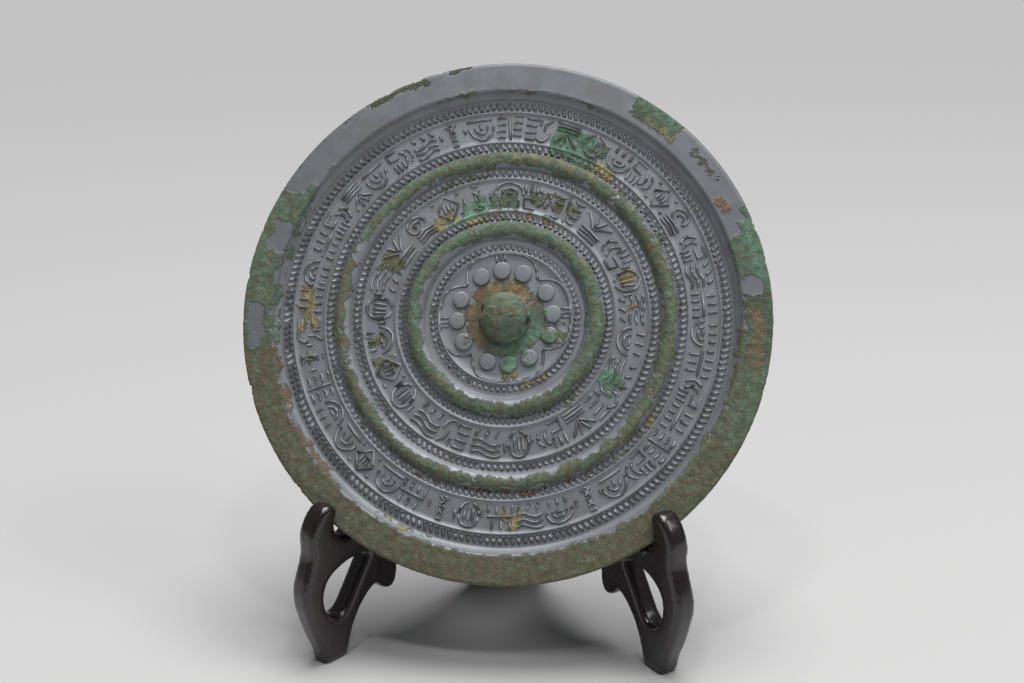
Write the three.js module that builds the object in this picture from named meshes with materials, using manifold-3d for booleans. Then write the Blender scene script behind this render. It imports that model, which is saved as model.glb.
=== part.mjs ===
// A cast bronze mirror with two raised rings, standing decorated side forward in a carved
// wooden stand. Millimetres, +Z up. The decorated side faces -Y, and the origin is on the
// table under the middle of the whole object.
import * as THREE from 'three';
import { mergeVertices } from 'three/addons/utils/BufferGeometryUtils.js';
import Module from 'manifold-3d';

const wasm = await Module();
wasm.setup();

// ---- Mirror: driving dimensions ----
const MIRROR_RADIUS = 90;
const RIM_THICKNESS = 6;
const RIM_CHAMFER = 0.5;
const BACK_BULGE = 0.8; // the reflecting side is slightly convex
const FIELD_DEPTH = 3.2; // from the rim's face down to the decorated field
const MIRROR_SEGMENTS = 64;

// Zones of the decorated side, as fractions of the radius.
const RIM_INNER = 0.887;
const RIM_WALL_FOOT = 0.857;
const THIN_LINES = [0.811, 0.69, 0.545, 0.417, 0.254];
const LINE_HALF_WIDTH = 0.5;
const LINE_HEIGHT = 0.35;
const OUTER_RING = { inner: 0.59, outer: 0.65, height: 1.9 };
const INNER_RING = { inner: 0.31, outer: 0.375, height: 2.1 };
const RING_FACETS = 6;

// Beads stand in four groups of three round the knob.
const BEAD_CIRCLE = 0.181 * MIRROR_RADIUS;
const BEAD_RADIUS = 3;
const BEAD_HEIGHT = 1.1;
const BEAD_TAPER = 0.35;
const BEAD_GROUPS = 4;
const BEADS_IN_GROUP = 3;
const BEAD_STEP = THREE.MathUtils.degToRad(26);
const BEAD_TURN = THREE.MathUtils.degToRad(5.5);
const BEAD_SEGMENTS = 14;

// Knob and the tunnel through it for a cord.
const KNOB_RADIUS = 8.6;
const KNOB_HEIGHT = 8.2;
const KNOB_SEGMENTS = 28;
const KNOB_FACETS = 7;
const BURIED = 0.5; // how far the beads and the knob reach into the field
const TUNNEL_WIDTH = 3.8;
const TUNNEL_HEIGHT = 3.4;
const TUNNEL_SILL = 0.3;
const TUNNEL_TURN = THREE.MathUtils.degToRad(-14);

// ---- How the mirror stands ----
const LEAN = THREE.MathUtils.degToRad(26); // back from upright
const CENTRE_HEIGHT = 113.2; // middle of the rim's face above the table
const CENTRE_BACK = -1.68; // middle of the rim's face behind the origin

// ---- Stand: driving dimensions ----
const BOARD_THICKNESS = 8;
const BOARD_BEVEL = 1.2;
const BOARD_ANGLE = THREE.MathUtils.degToRad(38); // each board from straight back
const TIP_SPREAD = 53.4; // from the middle plane to each hook
const TIP_BACK = -28; // hooks, from the middle of the rim's face
const STAND_SHIFT = -2; // the stand sits a little to one side of the mirror
const CLEARANCE = 0.3; // between pieces that touch
const CURVE_STEPS = 2; // outline steps for each point of a curve

// The board's outline as [distance back, height] in its own plane, run through in order:
// up the front column to the hook, down into the notch, up the rest behind the mirror,
// down to the joint at the back, and under the two arches.
const FOOT_FRONT = [-9.6, 0];
const COLUMN_FRONT = [[-10.2, 4.6], [-13.6, 13], [-17, 26.5], [-14.6, 35.5], [-12.6, 41], [-12.8, 47]];
const HOOK = [[-10.6, 52.4], [-6.4, 56.6], [-2.4, 56.4], [-0.8, 53.8]];
const NOTCH = [[-2.3, 51], [-2.4, 47.4], [-0.6, 44.6], [2.6, 43.6]];
const REST_FOOT = [5, 45.4];
const REST_HEAD = [49.5, 117];
const REST_CURL = [[52.4, 121], [57.4, 121.8], [61, 118], [60, 112.6]];
const REST_BACK = [[55.4, 101], [55.6, 88], [61.4, 74], [73, 66]];
const JOINT_TOP = [96, 62];
const JOINT_BOTTOM = [96, 0];
const REAR_FOOT = [68, 0];
const REAR_ARCH = [[67, 6], [60, 18], [49, 28], [37, 33], [27.6, 32.4]];
const PENDANT = [[24.8, 27], [24.2, 20.8], [21.6, 17.2], [18, 18.2], [15.2, 21.2]];
const FRONT_ARCH = [[12, 20.2], [7, 15.4], [3.2, 9], [1.4, 3.6]];
const FOOT_BACK = [0.6, 0];

// A leaning teardrop cut through the board behind its front column.
const TEAR_POINT = [12, 34.8];
const TEAR_SIDE_FRONT = [[2.4, 34.4], [-5.4, 31], [-8.4, 25.4]];
const TEAR_BOTTOM = [[-7.6, 19.4], [-4, 16.2], [0, 17]];
const TEAR_SIDE_BACK = [[4.6, 23.6]];

// ---- Solids ----
function toSolid(geometry) {
  geometry.deleteAttribute('normal');
  geometry.deleteAttribute('uv');
  const merged = mergeVertices(geometry);
  const vertProperties = new Float32Array(merged.attributes.position.array);
  const triVerts = new Uint32Array(merged.index.array);
  return new wasm.Manifold(new wasm.Mesh({ numProp: 3, vertProperties, triVerts }));
}

function toGeometry(solid) {
  const mesh = solid.getMesh();
  const geometry = new THREE.BufferGeometry();
  geometry.setAttribute('position', new THREE.BufferAttribute(new Float32Array(mesh.vertProperties), 3));
  geometry.setIndex(new THREE.BufferAttribute(new Uint32Array(mesh.triVerts), 1));
  geometry.computeVertexNormals();
  return geometry;
}

// Turns a profile of [radius, height] about the mirror's own +Z axis.
function turned(profile, segments) {
  const points = profile.map(([radius, height]) => new THREE.Vector2(radius, height));
  return new THREE.LatheGeometry(points, segments).rotateX(Math.PI / 2);
}

// ---- Mirror, lying face up with the rim's face at height 0 ----
function ridge(fraction) {
  const radius = fraction * MIRROR_RADIUS;
  return [
    [radius + LINE_HALF_WIDTH, -FIELD_DEPTH],
    [radius, LINE_HEIGHT - FIELD_DEPTH],
    [radius - LINE_HALF_WIDTH, -FIELD_DEPTH],
  ];
}

function roundedRing({ inner, outer, height }) {
  const middle = ((inner + outer) / 2) * MIRROR_RADIUS;
  const half = ((outer - inner) / 2) * MIRROR_RADIUS;
  const points = [];
  for (let i = 0; i <= RING_FACETS; i++) {
    const angle = (i / RING_FACETS) * Math.PI;
    points.push([middle + half * Math.cos(angle), height * Math.sin(angle) - FIELD_DEPTH]);
  }
  return points;
}

function mirrorProfile() {
  const R = MIRROR_RADIUS;
  const [line1, line2, line3, line4, line5] = THIN_LINES.map(ridge);
  return [
    [0, -RIM_THICKNESS - BACK_BULGE],
    [0.5 * R, -RIM_THICKNESS - 0.75 * BACK_BULGE],
    [R - RIM_CHAMFER, -RIM_THICKNESS],
    [R, RIM_CHAMFER - RIM_THICKNESS],
    [R, -RIM_CHAMFER],
    [R - RIM_CHAMFER, 0],
    [RIM_INNER * R, 0],
    [(0.65 * RIM_WALL_FOOT + 0.35 * RIM_INNER) * R, -0.6 * FIELD_DEPTH],
    [RIM_WALL_FOOT * R, -FIELD_DEPTH],
    ...line1,
    ...line2,
    ...roundedRing(OUTER_RING),
    ...line3,
    ...line4,
    ...roundedRing(INNER_RING),
    ...line5,
    [0, -FIELD_DEPTH],
  ];
}

function beadSolid(angle) {
  const height = BEAD_HEIGHT + BURIED;
  const bead = new THREE.CylinderGeometry(BEAD_RADIUS - BEAD_TAPER, BEAD_RADIUS, height, BEAD_SEGMENTS);
  bead.rotateX(Math.PI / 2);
  bead.translate(
    BEAD_CIRCLE * Math.cos(angle),
    BEAD_CIRCLE * Math.sin(angle),
    BEAD_HEIGHT - FIELD_DEPTH - height / 2,
  );
  return toSolid(bead);
}

function knobSolid() {
  const base = -FIELD_DEPTH - BURIED;
  const profile = [[0, base], [KNOB_RADIUS, base]];
  for (let i = 0; i <= KNOB_FACETS; i++) {
    const angle = (i / KNOB_FACETS) * (Math.PI / 2);
    const radius = i === KNOB_FACETS ? 0 : KNOB_RADIUS * Math.cos(angle);
    profile.push([radius, KNOB_HEIGHT * Math.sin(angle) - FIELD_DEPTH]);
  }
  return toSolid(turned(profile, KNOB_SEGMENTS));
}

// A flat-floored tunnel with a rounded roof.
function tunnelSolid() {
  const half = TUNNEL_WIDTH / 2;
  const arch = new THREE.Shape();
  arch.moveTo(half, 0);
  arch.lineTo(half, TUNNEL_HEIGHT - half);
  arch.absarc(0, TUNNEL_HEIGHT - half, half, 0, Math.PI);
  arch.lineTo(-half, 0);
  arch.closePath();
  const length = 3 * KNOB_RADIUS;
  const tunnel = new THREE.ExtrudeGeometry(arch, { depth: length, bevelEnabled: false, curveSegments: 4 });
  tunnel.translate(0, TUNNEL_SILL - FIELD_DEPTH, -length / 2);
  tunnel.rotateX(Math.PI / 2);
  tunnel.rotateZ(Math.PI / 2 + TUNNEL_TURN);
  return toSolid(tunnel);
}

function mirrorSolid() {
  let solid = toSolid(turned(mirrorProfile(), MIRROR_SEGMENTS));
  for (let group = 0; group < BEAD_GROUPS; group++) {
    for (let i = 0; i < BEADS_IN_GROUP; i++) {
      const offset = (i - (BEADS_IN_GROUP - 1) / 2) * BEAD_STEP;
      solid = solid.add(beadSolid(BEAD_TURN + group * (Math.PI / 2) + offset));
    }
  }
  return solid.add(knobSolid().subtract(tunnelSolid()));
}

// Stands a geometry made lying face up on its lean, where the mirror rests.
function stoodUp(geometry) {
  geometry.rotateX(Math.PI / 2 - LEAN);
  geometry.translate(0, CENTRE_BACK, CENTRE_HEIGHT);
  return geometry;
}

// The space that the mirror takes, a little larger all round.
function mirrorSpace() {
  const radius = MIRROR_RADIUS + CLEARANCE;
  const back = -RIM_THICKNESS - CLEARANCE;
  const profile = [[0, back - BACK_BULGE], [radius, back], [radius, CLEARANCE], [0, CLEARANCE]];
  return toSolid(stoodUp(turned(profile, 2 * MIRROR_SEGMENTS)));
}

// ---- Stand ----
const vector = ([back, height]) => new THREE.Vector2(back, height);

function legOutline() {
  const shape = new THREE.Shape();
  shape.moveTo(...FOOT_FRONT);
  shape.splineThru([...COLUMN_FRONT, ...HOOK].map(vector));
  shape.splineThru(NOTCH.map(vector));
  shape.lineTo(...REST_FOOT);
  shape.lineTo(...REST_HEAD);
  shape.splineThru([...REST_CURL, ...REST_BACK].map(vector));
  shape.lineTo(...JOINT_TOP);
  shape.lineTo(...JOINT_BOTTOM);
  shape.lineTo(...REAR_FOOT);
  shape.splineThru(REAR_ARCH.map(vector));
  shape.splineThru(PENDANT.map(vector));
  shape.splineThru(FRONT_ARCH.map(vector));
  shape.lineTo(...FOOT_BACK);
  shape.closePath();
  const tear = new THREE.Path();
  tear.moveTo(...TEAR_POINT);
  tear.splineThru([...TEAR_SIDE_FRONT, ...TEAR_BOTTOM, ...TEAR_SIDE_BACK, TEAR_POINT].map(vector));
  shape.holes.push(tear);
  return shape;
}

// side is -1 for the left board and +1 for the right one.
function legSolid(side) {
  const board = new THREE.ExtrudeGeometry(legOutline(), {
    depth: BOARD_THICKNESS - 2 * BOARD_BEVEL,
    bevelThickness: BOARD_BEVEL,
    bevelSize: BOARD_BEVEL,
    bevelOffset: -BOARD_BEVEL,
    bevelSegments: 2,
    curveSegments: CURVE_STEPS,
  });
  board.translate(0, 0, BOARD_BEVEL - BOARD_THICKNESS / 2);
  board.rotateX(Math.PI / 2);
  board.rotateZ(Math.PI / 2 + side * BOARD_ANGLE);
  board.translate(STAND_SHIFT + side * TIP_SPREAD, CENTRE_BACK + TIP_BACK, 0);
  const reach = 3 * MIRROR_RADIUS;
  const beyond = new THREE.BoxGeometry(reach, reach, reach);
  beyond.translate(STAND_SHIFT + (side * (CLEARANCE - reach)) / 2, 0, 0);
  return toSolid(board).subtract(toSolid(beyond)).subtract(mirrorSpace());
}

// ---- Scene graph ----
const bronze = new THREE.MeshStandardMaterial({ color: 0x6f7a78, roughness: 0.55, metalness: 0.8 });
const rosewood = new THREE.MeshStandardMaterial({ color: 0x2a1513, roughness: 0.3, metalness: 0 });

function namedMesh(name, geometry, material) {
  const mesh = new THREE.Mesh(geometry, material.clone());
  mesh.name = name;
  return mesh;
}

const object = new THREE.Group();
object.add(namedMesh('mirror', stoodUp(toGeometry(mirrorSolid())), bronze));
object.add(namedMesh('stand_leg_left', toGeometry(legSolid(-1)), rosewood));
object.add(namedMesh('stand_leg_right', toGeometry(legSolid(1)), rosewood));

export default object;
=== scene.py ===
"""A cast bronze mirror with two raised rings, standing in a carved rosewood stand.

The mirror's pieces are modelled lying face up in millimetres, with the rim's face at height 0,
the axis at the origin and the top of the mirror towards +Y, and are then stood up on their lean.
Directions round the mirror are clockwise degrees from its top, seen from the decorated side.
"""
import math
import random

import bmesh
import bpy
import numpy as np
from bpy.props import FloatProperty, FloatVectorProperty, PointerProperty
from bpy.types import Operator, Panel, PropertyGroup
from mathutils import Matrix, Vector, noise


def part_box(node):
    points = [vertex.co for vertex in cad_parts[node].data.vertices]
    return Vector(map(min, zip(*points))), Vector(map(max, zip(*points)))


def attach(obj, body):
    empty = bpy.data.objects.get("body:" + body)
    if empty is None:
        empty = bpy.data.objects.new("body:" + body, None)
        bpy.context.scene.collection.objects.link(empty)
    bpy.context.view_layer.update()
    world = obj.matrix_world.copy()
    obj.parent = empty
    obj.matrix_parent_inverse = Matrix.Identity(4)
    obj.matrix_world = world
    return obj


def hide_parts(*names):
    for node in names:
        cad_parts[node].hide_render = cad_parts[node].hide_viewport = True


bl_info = {
    "name": "Bronze Mirror on a Wooden Stand",
    "version": (1, 0, 0),
    "blender": (4, 5, 0),
    "location": "3D View > Sidebar > Mirror",
    "description": "Builds a cast bronze mirror with raised rings and the carved stand under it",
    "category": "Object",
}

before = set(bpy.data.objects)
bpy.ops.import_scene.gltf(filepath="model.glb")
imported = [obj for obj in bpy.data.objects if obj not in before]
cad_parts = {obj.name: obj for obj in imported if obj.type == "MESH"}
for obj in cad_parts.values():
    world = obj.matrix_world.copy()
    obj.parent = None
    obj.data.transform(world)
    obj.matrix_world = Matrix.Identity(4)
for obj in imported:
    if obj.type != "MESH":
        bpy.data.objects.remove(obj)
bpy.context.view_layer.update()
BODY = "root"
BRONZE_SLOT = "bronze"
ROSEWOOD_SLOT = "rosewood"

# ---- Where the mirror stands ----
MM = 0.001
MIRROR_LOW, MIRROR_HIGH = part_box("mirror")
R = (MIRROR_HIGH.x - MIRROR_LOW.x) / 2 / MM  # millimetres, as all sizes below
LEAN = math.radians(26)
CHAMFER = 0.5
THICKNESS = 6.0
BACK_BULGE = 0.8
DEPTH = 3.2  # from the rim's face down to the field
FACE_CENTRE = Vector((
    (MIRROR_LOW.x + MIRROR_HIGH.x) / 2,
    MIRROR_LOW.y + (R - CHAMFER) * MM * math.sin(LEAN),
    MIRROR_HIGH.z - (R * math.cos(LEAN) - CHAMFER * math.sin(LEAN)) * MM,
))
STOOD_UP = (
    Matrix.Translation(FACE_CENTRE)
    @ Matrix.Rotation(math.pi / 2 - LEAN, 4, "X")
    @ Matrix.Scale(MM, 4)
)

# ---- Zones of the decorated side, as fractions of the radius ----
RIM_INNER = 0.887
WALL_FOOT = 0.857
THIN_LINES = (0.811, 0.69, 0.545, 0.417, 0.254)
LINE_HALF = 0.0062
LINE_RISE = 0.5
OUTER_RING = (0.59, 0.65, 1.9)  # inner edge, outer edge, rise in millimetres
INNER_RING = (0.31, 0.375, 2.1)
TURN_STEPS = 720

# Where profile points lie, from the rim inwards: from, to, number of steps.
PROFILE_SPANS = (
    (0.9944, RIM_INNER, 12), (RIM_INNER, WALL_FOOT, 8), (WALL_FOOT, 0.8175, 3),
    (0.8175, 0.8045, 5), (0.8045, 0.6965, 8), (0.6965, 0.6835, 5), (0.6835, 0.652, 3),
    (0.652, 0.588, 12), (0.588, 0.5515, 3), (0.5515, 0.5385, 5), (0.5385, 0.4235, 8),
    (0.4235, 0.4105, 5), (0.4105, 0.377, 3), (0.377, 0.308, 12), (0.308, 0.2605, 4),
    (0.2605, 0.2475, 5), (0.2475, 0.0, 9),
)

# Bands of slanted teeth: inner end, outer end, number of teeth.
TOOTH_BANDS = (
    (0.8165, 0.849, 224),
    (0.655, 0.6845, 179),
    (0.5515, 0.58, 152),
    (0.38, 0.4065, 116),
    (0.2605, 0.286, 76),
)
TOOTH_SLANT = math.radians(22)

# Bands of strokes: inner edge, outer edge, number of places, seed.
STROKE_BANDS = ((0.699, 0.801, 42, 11), (0.427, 0.536, 25, 23))

STROKE_FILL = 0.95  # part of a band's width that its strokes fill
PLACE_FILL = (0.44, 0.475)  # least and most half width of a motif, in steps between places
TOOTH_HALF_WIDTH = 0.37  # in steps between teeth
TOOTH_END = (0.7, 0.35)  # width and rise at a tooth's ends
# The lobed line round the beads, one lobe for each group of three.
LOBE_STEPS = 28
LOBE_HALF_TURN = 44.5
LOBE_CROWN = 23  # degrees each way that keep their distance from the axis
LOBE_REACH = 0.249
LOBE_DROP = 0.060
LOBE_CURVE = 1.7
CENTRE_LINE_RISE = 0.5

# ---- Beads and knob ----
BEAD_CIRCLE = 0.181
BEAD_RADIUS = 3.05
BEAD_RISE = 1.1
GROUP_TURNS = (-5.5, 84.5, 174.5, 264.5)  # middle of each group of three
BEAD_STEP = 26.0
KNOB_RADIUS = 8.6
KNOB_RISE = 8.2
TUNNEL_WIDTH = 3.8
TUNNEL_RISE = 3.4
TUNNEL_SILL = 0.3
TUNNEL_TURN = math.radians(-14)
BURIED = 0.5

# ---- Patina and painted shade ----
TINTS = {
    "olive": (0.125, 0.135, 0.080),
    "green": (0.092, 0.150, 0.105),
    "malachite": (0.120, 0.235, 0.165),
    "mint": (0.215, 0.390, 0.290),
    "umber": (0.130, 0.086, 0.056),
    "rust": (0.230, 0.130, 0.070),
    "ochre": (0.290, 0.250, 0.130),
    "moss": (0.062, 0.078, 0.044),
    "soot": (0.090, 0.092, 0.090),
}
BARE = "bare"
# kind, from and to in clockwise degrees from the top, from and to across the radius, strength
PATCHES = (
    # the crusted lower part of the rim
    ("olive", 99, 300, 0.890, 1.02, 0.80), ("umber", 118, 262, 0.888, 1.02, 0.90),
    ("green", 87, 300, 0.888, 1.02, 0.76), ("moss", 84, 272, 0.89, 1.02, 0.70),
    ("malachite", 100, 121, 0.90, 1.0, 0.66), ("malachite", 122, 136, 0.93, 1.0, 0.55),
    ("rust", 140, 200, 0.92, 1.0, 0.56), ("malachite", 156, 164, 0.90, 0.95, 0.55),
    ("umber", 165, 196, 0.90, 1.0, 0.86), ("ochre", 150, 166, 0.94, 1.0, 0.50),
    ("malachite", 200, 216, 0.90, 1.0, 0.50), ("umber", 235, 250, 0.90, 1.0, 0.84),
    ("malachite", 268, 298, 0.93, 1.02, 0.60), ("green", 272, 300, 0.89, 1.02, 0.86),
    (BARE, 262.5, 272, 0.918, 0.985, 1.0), (BARE, 286, 293, 0.890, 0.965, 1.0),
    # patches on the bare part of the rim
    ("green", 29.5, 42, 0.925, 1.02, 0.95), ("malachite", 31, 40, 0.96, 1.02, 0.90),
    ("ochre", 34, 43, 0.915, 0.955, 0.70), ("moss", 30, 40, 0.93, 0.965, 0.80),
    ("soot", 46, 57, 0.935, 0.975, 0.56), ("rust", 59.5, 64, 0.90, 0.945, 0.80),
    ("malachite", 67, 81, 0.94, 1.02, 0.95), ("green", 70, 80, 0.885, 0.95, 0.95),
    ("green", 64, 92, 0.975, 1.02, 0.80), ("rust", 87, 101, 0.912, 0.972, 0.95),
    ("ochre", 90, 98, 0.93, 0.96, 0.62), ("moss", 327, 340.5, 0.972, 1.02, 0.95),
    ("olive", 330, 338, 0.98, 1.02, 0.80), ("moss", 346, 352, 0.982, 1.02, 0.90),
    ("olive", 341, 384, 0.882, 0.896, 0.64), ("ochre", 350, 366, 0.884, 0.894, 0.58),
    ("green", 296, 304, 0.875, 0.915, 0.80), ("malachite", 307.5, 312, 0.885, 0.905, 0.74),
    ("olive", 300, 330, 0.992, 1.02, 0.50), ("malachite", 343, 356, 0.888, 0.90, 0.66),
    # where the crust ends on the rim's inner wall
    ("olive", 92, 140, 0.872, 0.90, 0.66), ("ochre", 196, 215, 0.855, 0.885, 0.50),
    ("umber", 225, 262, 0.868, 0.892, 0.55), ("green", 262, 300, 0.862, 0.895, 0.52),
    # both raised rings
    ("olive", 0, 360, 0.593, 0.650, 0.78), ("green", 0, 360, 0.590, 0.650, 0.76),
    ("moss", 40, 130, 0.588, 0.620, 0.74), ("malachite", 79, 82, 0.60, 0.64, 0.90),
    ("ochre", 120, 140, 0.612, 0.645, 0.58), ("ochre", 0, 34, 0.618, 0.650, 0.62),
    ("rust", 8, 26, 0.636, 0.650, 0.62), ("malachite", 296, 352, 0.615, 0.648, 0.60),
    ("umber", 215, 290, 0.610, 0.645, 0.66), (BARE, 130, 328, 0.580, 0.606, 0.75),
    (BARE, 289, 297, 0.600, 0.640, 0.60),
    ("green", 0, 360, 0.312, 0.378, 0.86), ("olive", 0, 360, 0.318, 0.376, 0.76),
    ("malachite", 240, 350, 0.335, 0.372, 0.72), ("malachite", 60, 160, 0.335, 0.372, 0.66),
    ("malachite", 160, 240, 0.345, 0.372, 0.60), (BARE, 132, 330, 0.300, 0.326, 0.75),
    # patches between the rings
    ("malachite", 13, 26, 0.655, 0.785, 0.74), ("green", 14, 30, 0.64, 0.78, 0.66),
    ("mint", 15, 21, 0.66, 0.72, 0.62), ("ochre", 27, 37, 0.655, 0.695, 0.62),
    ("malachite", 114, 124, 0.42, 0.49, 0.80), ("green", 116, 126, 0.46, 0.52, 0.56),
    ("green", 137, 146, 0.385, 0.425, 0.64), ("mint", 326, 350, 0.412, 0.432, 0.78),
    ("malachite", 337, 351, 0.42, 0.485, 0.86), ("mint", 339, 348, 0.43, 0.475, 0.66),
    ("ochre", 322, 334, 0.415, 0.47, 0.60), ("green", 352, 366, 0.42, 0.50, 0.62),
    ("rust", 0, 32, 0.392, 0.415, 0.62), ("malachite", 0, 24, 0.405, 0.425, 0.60),
    ("ochre", 334, 362, 0.385, 0.415, 0.56), ("green", 332, 348, 0.555, 0.58, 0.66),
    ("olive", 8, 27, 0.45, 0.52, 0.58), ("olive", 28, 38, 0.44, 0.52, 0.44),
    ("ochre", 66, 75, 0.45, 0.52, 0.52), ("ochre", 82, 90, 0.45, 0.53, 0.50),
    ("olive", 243, 252, 0.45, 0.53, 0.56), ("olive", 256, 263, 0.45, 0.53, 0.56),
    ("olive", 290, 300, 0.44, 0.545, 0.58), ("ochre", 264, 279, 0.72, 0.80, 0.58),
    ("ochre", 173, 180, 0.70, 0.80, 0.54), ("olive", 254, 260, 0.71, 0.79, 0.50),
    ("ochre", 119, 128, 0.655, 0.69, 0.60), ("olive", 118, 145, 0.655, 0.685, 0.50),
    ("ochre", 145, 168, 0.26, 0.29, 0.54), ("olive", 330, 352, 0.545, 0.58, 0.50),
    ("rust", 276, 282, 0.70, 0.80, 0.42), ("umber", 150, 215, 0.652, 0.675, 0.55),
    # the knob, its crusted foot and the beads nearest to it
    ("olive", 0, 360, 0.0, 0.097, 0.90), ("green", 0, 360, 0.0, 0.097, 0.95),
    ("malachite", 80, 190, 0.03, 0.10, 0.80), ("rust", 268, 440, 0.097, 0.150, 0.74),
    ("ochre", 330, 405, 0.095, 0.150, 0.84), ("olive", 210, 420, 0.09, 0.150, 0.84),
    ("umber", 200, 310, 0.09, 0.140, 0.84), ("green", 60, 215, 0.09, 0.155, 0.90),
    ("malachite", 80, 150, 0.09, 0.160, 0.74), ("malachite", 104, 119, 0.148, 0.215, 0.92),
    ("mint", 105, 117, 0.16, 0.21, 0.70), ("malachite", 143, 158, 0.15, 0.210, 0.80),
    ("malachite", 164, 182, 0.15, 0.215, 0.84), ("mint", 166, 180, 0.155, 0.21, 0.72),
    ("rust", 168, 176, 0.17, 0.20, 0.60), ("ochre", 165, 182, 0.21, 0.245, 0.58),
    ("olive", 95, 122, 0.15, 0.25, 0.56), ("green", 84, 92, 0.15, 0.175, 0.70),
)
# Recesses given painted shade: middle, half width, depth of tone.
PAINTED_SHADE_BANDS = (
    (0.834, 0.019, 0.30), (0.669, 0.017, 0.35), (0.566, 0.018, 0.30),
    (0.393, 0.016, 0.35), (0.272, 0.016, 0.30), (0.866, 0.013, 0.35),
    (0.652, 0.006, 0.55), (0.588, 0.006, 0.55), (0.377, 0.006, 0.50),
    (0.307, 0.008, 0.50),
)
BACK_COVER = 0.44  # even thin crust on the reflecting side
RIM_TONE = 0.34  # the flat rim is a little darker than the field
PATCH_WANDER = 1.1  # how far the edge of a patch strays, in millimetres
# Losses at the outer edge: middle, half width in degrees, depth in millimetres.
EDGE_LOSSES = (
    (252.5, 2.5, 0.5), (277.5, 1.6, 0.6), (331.0, 3.0, 0.5), (338.0, 2.4, 0.7),
    (344.0, 1.8, 0.45), (351.5, 1.6, 0.5), (69.0, 2.2, 0.6), (77.0, 2.6, 0.5),
    (104.0, 3.0, 0.3), (150.0, 4.0, 0.25), (228.0, 3.5, 0.3), (290.0, 2.5, 0.35),
)

# ---- Camera, measured from the middle of the rim's face ----
CAMERA_OFFSET = Vector((32.99, -406.49, 111.74)) * MM
CAMERA_YAW = math.radians(4.284)
CAMERA_PITCH = math.radians(-16.506)
CAMERA_ROLL = math.radians(-0.4)
# The overhead light comes a little from the front and from the right.
OVERHEAD_TILT = (math.radians(-7), math.radians(5), 0.0)


# ---------------------------------------------------------------- settings
class MirrorSettings(PropertyGroup):
    tooth_rise: FloatProperty(
        name="Tooth rise", description="Height of the slanted teeth above the field",
        default=0.52 * MM, unit="LENGTH")
    stroke_rise: FloatProperty(
        name="Stroke rise", description="Height of the strokes in the two bands",
        default=0.72 * MM, unit="LENGTH")
    stroke_width: FloatProperty(
        name="Stroke width", description="Width of a stroke",
        default=0.86 * MM, unit="LENGTH")
    crust_rise: FloatProperty(
        name="Crust rise", description="How far the corrosion crust stands up",
        default=0.16 * MM, unit="LENGTH")
    bare_metal: FloatVectorProperty(
        name="Bare metal", description="Colour of the smooth blue-grey metal",
        subtype="COLOR", default=(0.245, 0.266, 0.290))
    # Painted shade: the metal is darkened to this colour in its recesses and at the feet of raised pieces.
    painted_shade_metal: FloatVectorProperty(
        name="Dark metal", description="Colour of the metal in its recesses",
        subtype="COLOR", default=(0.045, 0.049, 0.053))


class StandSettings(PropertyGroup):
    grain_size: FloatProperty(
        name="Surface step", description="Spacing of the finished wood surface's points",
        default=0.6 * MM, unit="LENGTH")
    dark_wood: FloatVectorProperty(
        name="Dark wood", description="Colour between the grain lines",
        subtype="COLOR", default=(0.009, 0.006, 0.007))
    red_wood: FloatVectorProperty(
        name="Red wood", description="Colour of the grain lines",
        subtype="COLOR", default=(0.026, 0.012, 0.012))


class StageSettings(PropertyGroup):
    floor_colour: FloatVectorProperty(
        name="Floor", description="Colour of the plain floor",
        subtype="COLOR", default=(0.50, 0.50, 0.495))
    overhead: FloatProperty(
        name="Overhead light", description="Strength of the even soft light from above",
        default=3.1)
    overhead_softness: FloatProperty(
        name="Softness", description="Width of the light from above as seen from the floor",
        default=math.radians(38), subtype="ANGLE")
    side_light: FloatProperty(
        name="Side light", description="Power of the soft light on the right", default=5.0,
        unit="POWER")
    lamps: FloatProperty(
        name="Lamps", description="Power of each of the two small lamps overhead", default=1.0,
        unit="POWER")
    surroundings: FloatProperty(
        name="Surroundings", description="Strength of the even light from all sides",
        default=0.12)
    lens: FloatProperty(
        name="Lens", description="Focal length on a 36 mm wide sensor", default=43.95)


# ---------------------------------------------------------------- shared making
def soft_step(low, high, value):
    """0 below low, 1 above high, and a smooth rise between."""
    t = np.clip((value - low) / (high - low), 0.0, 1.0)
    return t * t * (3 - 2 * t)


def speckle(points, size, shift, octaves=4):
    """Cloudy noise from about -1 to 1 whose blotches are about size millimetres across."""
    offset = Vector((shift, 1.7 * shift, -shift))
    values = [noise.fractal(Vector(p) / size + offset, 0.9, 2.0, octaves) for p in points]
    return np.clip(np.array(values) * 1.3, -1.0, 1.0)


def polar(points):
    """Clockwise degrees from the top, and distance from the axis as a fraction."""
    turn = np.degrees(np.arctan2(points[:, 0], points[:, 1])) % 360
    return turn, np.hypot(points[:, 0], points[:, 1]) / R


def turned_point(degrees, fraction):
    """The point on the field at that direction and fraction of the radius."""
    angle = math.radians(degrees)
    return Vector((fraction * R * math.sin(angle), fraction * R * math.cos(angle), -DEPTH))


def mesh_points(mesh):
    co = np.empty(len(mesh.vertices) * 3, np.float32)
    mesh.vertices.foreach_get("co", co)
    return co.reshape(-1, 3).astype(float)


def set_mesh_points(mesh, points):
    mesh.vertices.foreach_set("co", points.astype(np.float32).ravel())
    mesh.update()


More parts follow.
